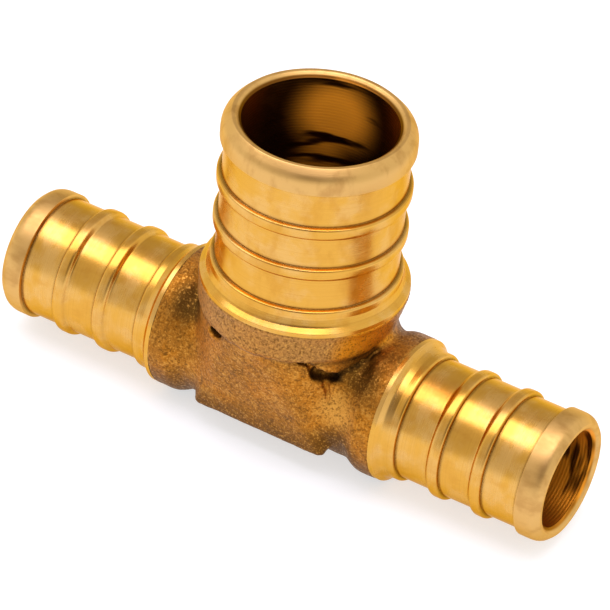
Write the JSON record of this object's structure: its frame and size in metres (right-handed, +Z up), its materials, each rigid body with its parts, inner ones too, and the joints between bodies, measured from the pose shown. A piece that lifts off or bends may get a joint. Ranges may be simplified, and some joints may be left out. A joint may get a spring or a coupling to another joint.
{
  "type": "reducing tee pipe fitting",
  "caption": "Cast and turned brass tee that joins crimped plastic tube: ribbed barbs on both ends of a straight run and a larger ribbed barb on the branch at right angles.",
  "frame": {"origin": "where the axis of the run crosses the axis of the branch", "axes": "+X along the run, +Z up the branch, +Y away from the front pad"},
  "size_m": [0.056, 0.0186, 0.0327],
  "materials": {
    "brass": "turned barbs bright with fine tool marks, body as cast, brown and granular"
  },
  "bodies": {
    "root": {"tee_fitting": "brass"}
  },
  "joints": []
}
